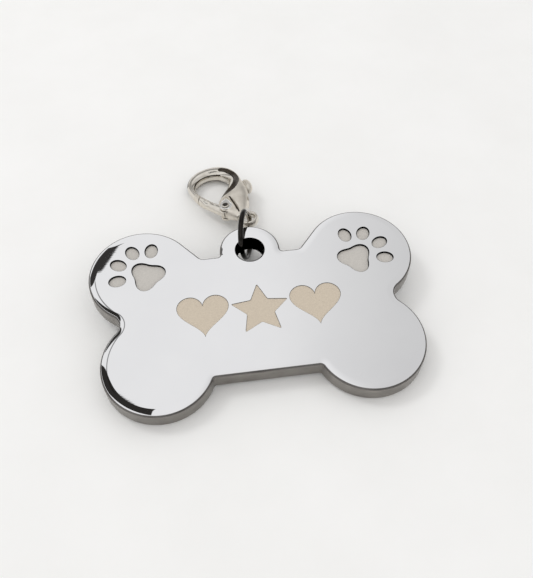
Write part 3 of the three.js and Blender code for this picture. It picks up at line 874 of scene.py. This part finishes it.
def painted_dark_reflection_band(p):
    """True in the two bands of painted dark reflection along the hook, on its outer side and on its inner
    rim.
    """
    x, y = p.x - HOOK_OUTER[0], p.y - HOOK_OUTER[1]
    if not 20 < math.degrees(math.atan2(y, x)) < 155:
        return False
    on_outside = math.hypot(x, y) > HOOK_OUTER[2] - 0.32 and 0.3 < abs(p.z) < 0.82
    on_inner_rim = math.dist(p.to_2d(), HOOK_OPENING[:2]) < HOOK_OPENING[2] + 0.17
    return on_outside or (on_inner_rim and 0.42 < abs(p.z) < 0.66)


def clasp_zone(p):
    """Which finish, painted dark reflection or painted highlight the casting has at a point."""
    high = abs(p.z)
    # The land round the rivet gets whiter nickel: a painted highlight.
    if abs(high - LAND_HALF_T) < 0.05 and on_land(p.x - PIVOT[0], p.y - PIVOT[1]):
        return PAINTED_BRIGHT
    in_valley = high > 0.55 and near_path(p.x, p.y, VALLEY) < VALLEY_HALF_W
    in_neck = high > 0.4 and near_path(p.x, p.y, NECK) < NECK_HALF_W
    # Painted dark reflection lies in the hook's two bands and in the valley and neck furrows.
    if painted_dark_reflection_band(p) or in_valley or in_neck:
        return PAINTED_DARK
    off_rim = math.dist(p.to_2d(), HOOK_OPENING[:2]) > HOOK_OPENING[2] + 1.2
    if SATIN_Y[0] < p.y < SATIN_Y[1] and (off_rim or high < 0.9):
        return TUMBLED
    return POLISHED


def clasp_body():
    base = temp("body_loft", *loft_mesh(body_stations(), 8, 64))
    mid, half = (EYE_OD + EYE_HOLE) / 4, (EYE_OD - EYE_HOLE) / 4
    eye = [(mid + half * math.cos(a), EYE_T / 2 * math.sin(a)) for a in full_turn(32)]
    base = combine(base, lathe("eye", eye + [eye[0]], 72), "UNION")
    base = combine(base, disc("boss", BOSS_R, LAND_HALF_T, 48, PIVOT), "UNION")
    for low, high in ((LAND_HALF_T, CUTTER_REACH), (-CUTTER_REACH, -LAND_HALF_T)):
        base = combine(base, prism("land", land_outline(), low, high), "DIFFERENCE")
    for flip in (False, True):
        base = combine(base, furrow("valley", VALLEY, VALLEY_BAR, flip), "DIFFERENCE")
        base = combine(base, furrow("neck", NECK, NECK_BAR, flip), "DIFFERENCE")
    base = combine(base, disc("core", EYE_HOLE / 2, CUTTER_REACH, 72), "DIFFERENCE")
    base = combine(base, prism("slot", slot_outline(), -SLOT_T / 2, SLOT_T / 2), "DIFFERENCE")
    for turn in (0, -OPEN_ANGLE / 2, -OPEN_ANGLE):
        base = combine(base, thumb_pad("room", THUMB_CLEARANCE, turn), "DIFFERENCE")
    base = combine(base, disc("bore", RIVET_BORE_R, CUTTER_REACH, 40, PIVOT), "DIFFERENCE")
    finishes_and_painted_light = [NICKEL, SATIN, SHADED, LAND]
    return cast(base, "clasp_casting", BODY_VOXEL, 3, finishes_and_painted_light, CLASP, clasp_zone)


def gate_zone(p):
    """The gate's upright sides and the thumb tab are tumbled satin, and its top is polished."""
    return TUMBLED if abs(p.z) < 0.5 or p.x > 2 else POLISHED


def clasp_gate():
    tip_in, tip_out = HOOK_TIP
    stations = [
        (-0.75, 3.5, -2.3, 3.5, GATE_HALF_T),
        (-0.65, 4.4, -2.6, 4.4, GATE_HALF_T),
        (-1.3, 6.0, -3.0, 6.0, GATE_HALF_T),
        (-1.8, 7.3, -3.3, 7.3, GATE_HALF_T),
        (-2.12, 8.4, -3.42, 8.2, TIP_HALF_T * 0.95),
        (tip_in[0], tip_in[1] - TIP_GAP, tip_out[0], tip_out[1] - TIP_GAP, TIP_HALF_T),
    ]
    base = temp("gate_loft", *loft_mesh(stations, 8, 64))
    face_r, side_half = HUB_R - HUB_ROUND, GATE_HALF_T - HUB_ROUND
    upper = [(HUB_R, side_half), (face_r, GATE_HALF_T), (0, GATE_HALF_T)]
    lower = [(r, -z) for r, z in reversed(upper)]
    base = combine(base, lathe("hub", lower + upper, 48, *PIVOT), "UNION")
    length = math.dist(PIVOT, THUMB)
    corners = ((0, -TAIL_HALF_W), (length, -TAIL_HALF_W), (length, TAIL_HALF_W), (0, TAIL_HALF_W))
    tail = [from_pivot(TAIL_ANGLE, along, left) for along, left in corners]
    base = combine(base, prism("tail", tail, -GATE_HALF_T, GATE_HALF_T), "UNION")
    base = combine(base, thumb_pad("thumb", 0.0), "UNION")
    base = combine(base, furrow("groove", straight_path(*GROOVE_ENDS), GROOVE_BAR), "DIFFERENCE")
    dish = straight_path(*[Vector((*THUMB, 0)) + end for end in DISH_ENDS])
    base = combine(base, furrow("dish", dish, DISH_BAR), "DIFFERENCE")
    base = combine(base, disc("gate_bore", RIVET_BORE_R, CUTTER_REACH, 40, PIVOT), "DIFFERENCE")
    return cast(base, "gate_casting", GATE_VOXEL, 2, [NICKEL, SATIN], CLASP, gate_zone)


def rivet():
    """The pin with its two domed heads, dark in the middle of each."""
    half = LAND_HALF_T + RIVET_PLAY
    wide, head = RIVET_HEAD
    dome = [(wide * s, half + head * c) for s, c in quarter(8)]
    upper = list(reversed(dome[1:])) + [(0, half + head)]
    lower = [(0, -half - head)] + [(r, -z) for r, z in dome[1:]]
    profile = lower + [(RIVET_R, -half), (RIVET_R, half)] + upper
    obj = lathe("rivet_pin", profile, 48, *PIVOT)
    mesh = obj.data
    zones = [0 if math.dist(face.center.to_2d(), PIVOT) < RIVET_R else 1 for face in mesh.polygons]
    mesh.transform(Matrix.Scale(MM, 4) @ CLASP)
    for m in (RIVET, NICKEL):
        mesh.materials.append(m)
    mesh.polygons.foreach_set("material_index", zones)
    mesh.polygons.foreach_set("use_smooth", [True] * len(mesh.polygons))
    mesh.set_sharp_from_angle(angle=math.radians(40))
    return obj


def tube(name, path, tangents, r, sides, materials, matrix, side_of):
    """A wire of even thickness along a path, cut off square at its ends."""
    points = []
    for p, t in zip(path, tangents):
        side = side_of(t)
        other = t.cross(side).normalized()
        for a in full_turn(sides):
            points.append((matrix @ (p + side * (r * math.cos(a)) + other * (r * math.sin(a)))) * MM)
    mesh = bpy.data.meshes.new(name)
    mesh.from_pydata([tuple(p) for p in points], [], skin(len(path), sides))
    mesh.update()
    obj = smooth_object(name, mesh, materials)
    mesh.set_sharp_from_angle(angle=math.radians(50))
    return obj


def jump_ring():
    """The open ring in its own yz plane: near-black wire of painted dark reflection, with a painted
    highlight where it stands clear of the tag.
    """
    gap = BUTT_GAP / 2 / RING_R
    start = BUTT_ANGLE + gap
    sweep = 2 * math.pi - 2 * gap
    steps = 160
    turns = [start + sweep * i / steps for i in range(steps + 1)]
    path = [Vector((0, RING_R * math.cos(a), RING_R * math.sin(a))) for a in turns]
    tangents = [Vector((0, -math.sin(a), math.cos(a))) for a in turns]
    finishes_and_painted_light = [RING_PAINTED_DARK, RING_PAINTED_HIGHLIGHT]
    obj = tube("ring_wire", path, tangents, WIRE / 2, 28, finishes_and_painted_light, RING, lambda t: Vector((1, 0, 0)))
    local = RING.inverted()
    at = [local @ (face.center / MM) for face in obj.data.polygons]
    # Past these heights the wire gets a painted highlight, and below them painted dark reflection.
    highlight_from_y, highlight_from_z = 1.9, -1
    zones = [1 if p.y > highlight_from_y and p.z > highlight_from_z else 0 for p in at]
    obj.data.polygons.foreach_set("material_index", zones)
    return obj


def spring_ends():
    """Heights of the coil's two ends, between the slot's lower wall and the lever's tail."""
    half = SPRING_WIRE / 2 + SPRING_SEAT_GAP
    slope = math.radians(TAIL_ANGLE)
    reach = SPRING_X - SPRING_OD / 2 - PIVOT[0]
    high = PIVOT[1] + reach * math.tan(slope) - TAIL_HALF_W / math.cos(slope) - half
    slope = math.radians(TAIL_ANGLE - OPEN_ANGLE)
    reach = SPRING_X + SPRING_OD / 2 - PIVOT[0]
    wall = TAIL_HALF_W + SLOT_CLEARANCE
    low = PIVOT[1] + reach * math.tan(slope) - wall / math.cos(slope) + half
    return low, high


def gate_spring():
    low, high = spring_ends()
    r = (SPRING_OD - SPRING_WIRE) / 2
    steps = 24 * SPRING_TURNS
    path = []
    for i in range(steps + 1):
        t = i / steps
        a = 2 * math.pi * SPRING_TURNS * t
        path.append(Vector((SPRING_X + r * math.cos(a), low + (high - low) * t, r * math.sin(a))))
    last = len(path) - 1
    tangents = [(path[min(k + 1, last)] - path[max(k - 1, 0)]).normalized() for k in range(last + 1)]

    def side_of(t):
        return t.cross(Vector((0, 1, 0))).normalized()

    return tube("coil_wire", path, tangents, SPRING_WIRE / 2, 12, [SPRING], CLASP, side_of)


# Materials. A metal has its light and dark tones, its least and greatest roughness, the heights
# of its grain and of its waves in metres, and the fineness of its blotches.

FACE = polished_face()
WALL = side_wall()
# Dark metal on the tag's rim: a painted dark reflection line between face and wall.
RIM = metal("tag_rim_painted_dark_reflection", (0.2, 0.19, 0.18), (0.13, 0.12, 0.115), 0.08, 0.16, 6e-7, 1e-5, 300)
PAW_FLOOR = matt_floor("paw_floor", (0.68, 0.65, 0.61), (0.54, 0.515, 0.48), 0.5, 1e-5)
PAW_WALL = matt_floor("paw_wall", (0.5, 0.47, 0.43), (0.34, 0.31, 0.28), 0.35, 6e-6)
ETCHED = matt_floor("etched", (0.72, 0.63, 0.51), (0.6, 0.52, 0.42), 0.55, 4e-6)
BACK = metal("tag_back", (0.82, 0.82, 0.83), (0.74, 0.74, 0.75), 0.12, 0.24, 6e-7, 1e-5, 300)
# Whiter nickel for the rivet's land: a painted highlight.
LAND = metal("nickel_land_painted_highlight", (0.97, 0.96, 0.94), (0.93, 0.92, 0.89), 0.12, 0.2, 6e-7, 2e-5)
NICKEL = metal("nickel_polished", (0.8, 0.765, 0.7), (0.68, 0.64, 0.57), 0.07, 0.16, 1.2e-6, 2e-5)
SATIN = metal("nickel_satin", (0.84, 0.79, 0.71), (0.7, 0.65, 0.57), 0.3, 0.44, 4e-6, 3e-5)
# Near-black nickel as painted dark reflection, in the cut furrows and in the hook's two bands.
SHADED = metal("nickel_painted_dark_reflection", (0.09, 0.074, 0.058), (0.045, 0.036, 0.028), 0.2, 0.34, 3e-6, 2e-5)
# The ring's near-black base is painted dark reflection, and its light part is a painted highlight.
RING_PAINTED_DARK = metal("ring_painted_dark_reflection", (0.035, 0.032, 0.03), (0.02, 0.018, 0.017), 0.04, 0.1, 1e-6, 1e-5)
RING_PAINTED_HIGHLIGHT = metal("ring_painted_highlight", (0.62, 0.59, 0.55), (0.4, 0.38, 0.35), 0.06, 0.14, 1e-6, 1e-5)
RIVET = metal("rivet_dark_middle", (0.1, 0.09, 0.08), (0.05, 0.045, 0.04), 0.25, 0.4, 3e-6, 2e-5)
SPRING = metal("spring_wire", (0.6, 0.58, 0.55), (0.45, 0.43, 0.4), 0.2, 0.32, 1e-6, 1e-5)

VALLEY = valley_path()
NECK = neck_path()

# The pieces, each with its body, the CAD node that it replaces and its material slot.

pieces = [
    (tag_plate(), "tag", "tag_plate", "polished_tag"),
    (jump_ring(), "ring", "jump_ring", "ring_wire"),
    (clasp_body(), "clasp", "clasp_body", "clasp_nickel"),
    (clasp_gate(), "gate", "clasp_gate", "clasp_nickel"),
    (rivet(), "clasp", "gate_rivet", "rivet_steel"),
    (gate_spring(), "clasp", "gate_spring", "spring_steel"),
]
for piece, body, node, slot in pieces:
    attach(piece, body)
    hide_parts(node)

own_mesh(pieces[-1][0])

# Floor, camera and light


FLOOR_HALF_W = 1.2


def floor():
    """A plain pale floor under the laid-down pendant."""
    m, nodes, links, bsdf = material("pale_floor")
    at = object_coords(nodes)
    mottled = noise(nodes, links, at, 55, 5, 0.6)
    colours = [(0.35, (0.91, 0.908, 0.9)), (0.65, (0.935, 0.933, 0.928))]
    links.new(ramp(nodes, links, mottled, colours), bsdf.inputs["Base Color"])
    bsdf.inputs["Roughness"].default_value = 0.7
    bump(nodes, links, mottled, bsdf, 4e-5)
    mesh = bpy.data.meshes.new("floor")
    s = FLOOR_HALF_W
    mesh.from_pydata([(-s, -s, 0), (s, -s, 0), (s, s, 0), (-s, s, 0)], [], [(0, 1, 2, 3)])
    mesh.materials.append(m)
    obj = bpy.data.objects.new("floor", mesh)
    bpy.context.collection.objects.link(obj)
    return obj


floor()

# The viewpoint, found in the tag's own frame: picture sizes in pixels, angles in degrees and
# lengths in millimetres.
FOCAL_PX = 732.7
PICTURE = (533, 578)
VIEW_AZ = -8.464
VIEW_EL = 56.678
VIEW_ROLL = 0.727
VIEW_DIST = 105.74
VIEW_TARGET = (1.516, -0.135)


def camera():
    """The photograph's viewpoint. Gives back its directions to the right, up and back."""
    az, el, roll = math.radians(VIEW_AZ), math.radians(VIEW_EL), math.radians(VIEW_ROLL)
    target = TAG @ Vector((*VIEW_TARGET, PLATE_T))
    turn = TAG.to_3x3()
    back = turn @ Vector((math.sin(az) * math.cos(el), -math.cos(az) * math.cos(el), math.sin(el)))
    right = turn @ Vector((math.cos(az), math.sin(az), 0))
    up = back.cross(right)
    c, s = math.cos(roll), math.sin(roll)
    right, up = right * c + up * s, up * c - right * s
    place = target + back * VIEW_DIST
    data = bpy.data.cameras.new("camera")
    data.sensor_width = 36.0
    data.lens = FOCAL_PX * data.sensor_width / PICTURE[1]
    data.clip_start = 0.005
    data.clip_end = 10
    obj = bpy.data.objects.new("camera", data)
    bpy.context.collection.objects.link(obj)
    m = Matrix((right, up, back)).transposed().to_4x4()
    m.translation = place * MM
    obj.matrix_world = m
    bpy.context.scene.camera = obj
    return right, up, back


right, up, back = camera()


def pixel_mirrored(x, y):
    """The direction in which the tag's flat face reflects the ray through a pixel."""
    ray = (right * (x - PICTURE[0] / 2) - up * (y - PICTURE[1] / 2) - back * FOCAL_PX).normalized()
    n = TAG.to_3x3() @ Vector((0, 0, 1))
    return ray - n * (2 * ray.dot(n))


# Levels of the light: the plain surround, what mirrors show of it, and what the camera sees past
# the floor. The band is a darker belt in what mirrors show, between two heights above the horizon.
PLAIN_LEVEL = 0.88
MIRRORED_LEVEL = 0.9
SEEN_LEVEL = 0.9
SKY_EDGE = (-0.02, 0.08)
BAND_LOW_EDGE = (0.26, 0.33)
BAND_HIGH_EDGE = (0.54, 0.48)
BAND_DARKNESS = 0.62

# Dark cards as the flat face mirrors them: each side of a card is a line through two pixels, with
# a third pixel on the card's own side of that line.
LEFT_CARD = (
    ((125, 238), (97, 281), (60, 230)),
    ((125, 238), (78, 193), (90, 250)),
    ((97, 274), (-40, 306), (60, 230)),
    ((-30, 238), (-58, 281), (60, 230)),
)
LEFT_STRIP = (
    ((80, 300), (84, 400), (40, 350)),
    ((54, 300), (58, 400), (266, 350)),
    ((97, 274), (-40, 306), (60, 380)),
    ((40, 430), (90, 424), (60, 380)),
)
LOW_CARD = (
    ((99, 379), (156, 417), (90, 440)),
    ((99, 382), (-36, 350), (90, 440)),
    ((157, 417), (150, 480), (90, 440)),
    ((20, 495), (77, 533), (90, 440)),
)
DIM_SIDE = (((230, 150), (230, 450), (425, 300)),)

# Each card with the softness of its edge and how dark it is.
CARDS = (
    (LEFT_CARD, 0.003, 0.97),
    (LOW_CARD, 0.003, 0.98),
    (LEFT_STRIP, 0.006, 0.7),
    (DIM_SIDE, 0.26, 0.24),
)


def world():
    """The studio's surround: even light for the object, cards and a band for what it mirrors, and
    one pale tone for the camera."""
    w = bpy.data.worlds.new("studio")
    bpy.context.scene.world = w
    w.use_nodes = True
    nodes, links = w.node_tree.nodes, w.node_tree.links
    nodes.clear()
    where = nodes.new("ShaderNodeTexCoord").outputs["Generated"]
    path = nodes.new("ShaderNodeLightPath")

    def dot(direction):
        n = nodes.new("ShaderNodeVectorMath")
        n.operation = "DOT_PRODUCT"
        n.inputs[1].default_value = direction
        links.new(where, n.inputs[0])
        return n.outputs["Value"]

    def step(value, low, high):
        n = nodes.new("ShaderNodeMapRange")
        n.interpolation_type = "SMOOTHSTEP"
        n.inputs["From Min"].default_value = low
        n.inputs["From Max"].default_value = high
        links.new(value, n.inputs["Value"])
        return n.outputs["Result"]

    def times(a, b):
        n = nodes.new("ShaderNodeMath")
        n.operation = "MULTIPLY"
        links.new(a, n.inputs[0])
        links.new(b, n.inputs[1])
        return n.outputs[0]

    def card(sides, soft):
        """1 on the card whose sides are lines through mirrored pixels, 0 off it."""
        shape = None
        for p, q, own in sides:
            normal = pixel_mirrored(*p).cross(pixel_mirrored(*q)).normalized()
            if normal.dot(pixel_mirrored(*own)) < 0:
                normal = -normal
            side = step(dot(normal), 0.0, soft)
            shape = side if shape is None else times(shape, side)
        return shape

    def darkened(level, shape, amount):
        """The level, less by an amount where the shape is."""
        n = nodes.new("ShaderNodeMath")
        n.operation = "MULTIPLY_ADD"
        n.inputs[1].default_value = -amount
        n.inputs[2].default_value = 1.0
        links.new(shape, n.inputs[0])
        return times(level, n.outputs[0])

    def background(level):
        n = nodes.new("ShaderNodeBackground")
        n.inputs["Strength"].default_value = level
        return n

    def choose(ray, otherwise, when):
        n = nodes.new("ShaderNodeMixShader")
        links.new(path.outputs[ray], n.inputs["Fac"])
        links.new(otherwise, n.inputs[1])
        links.new(when, n.inputs[2])
        return n.outputs[0]

    height = dot((0, 0, 1))
    level = step(height, *SKY_EDGE)
    band = times(step(height, *BAND_LOW_EDGE), step(height, *BAND_HIGH_EDGE))
    level = darkened(level, band, BAND_DARKNESS)
    for sides, soft, darkness in CARDS:
        level = darkened(level, card(sides, soft), darkness)
    plain = background(PLAIN_LEVEL)
    plain.inputs["Color"].default_value = (1, 0.995, 0.985, 1)
    mirrored = background(MIRRORED_LEVEL)
    tones = [(0.0, (0.012, 0.01, 0.008)), (1.0, (0.97, 0.97, 0.975))]
    links.new(ramp(nodes, links, level, tones), mirrored.inputs["Color"])
    for_object = choose("Is Glossy Ray", plain.outputs[0], mirrored.outputs[0])
    shown = choose("Is Camera Ray", for_object, background(SEEN_LEVEL).outputs[0])
    out = nodes.new("ShaderNodeOutputWorld")
    links.new(shown, out.inputs["Surface"])


world()


def lamp(name, at, size, power):
    """A round soft light that points at the middle of the floor and isn't mirrored."""
    data = bpy.data.lights.new(name, "AREA")
    data.shape = "DISK"
    data.size = size
    data.energy = power
    obj = bpy.data.objects.new(name, data)
    bpy.context.collection.objects.link(obj)
    at = Vector(at)
    obj.matrix_world = Matrix.Translation(at) @ at.to_track_quat("Z", "Y").to_matrix().to_4x4()
    obj.visible_glossy = False
    return obj


lamp("soft_key", at=(-0.28, 0.2, 0.42), size=0.16, power=0.4)

scene = bpy.context.scene
scene.view_settings.view_transform = "Standard"
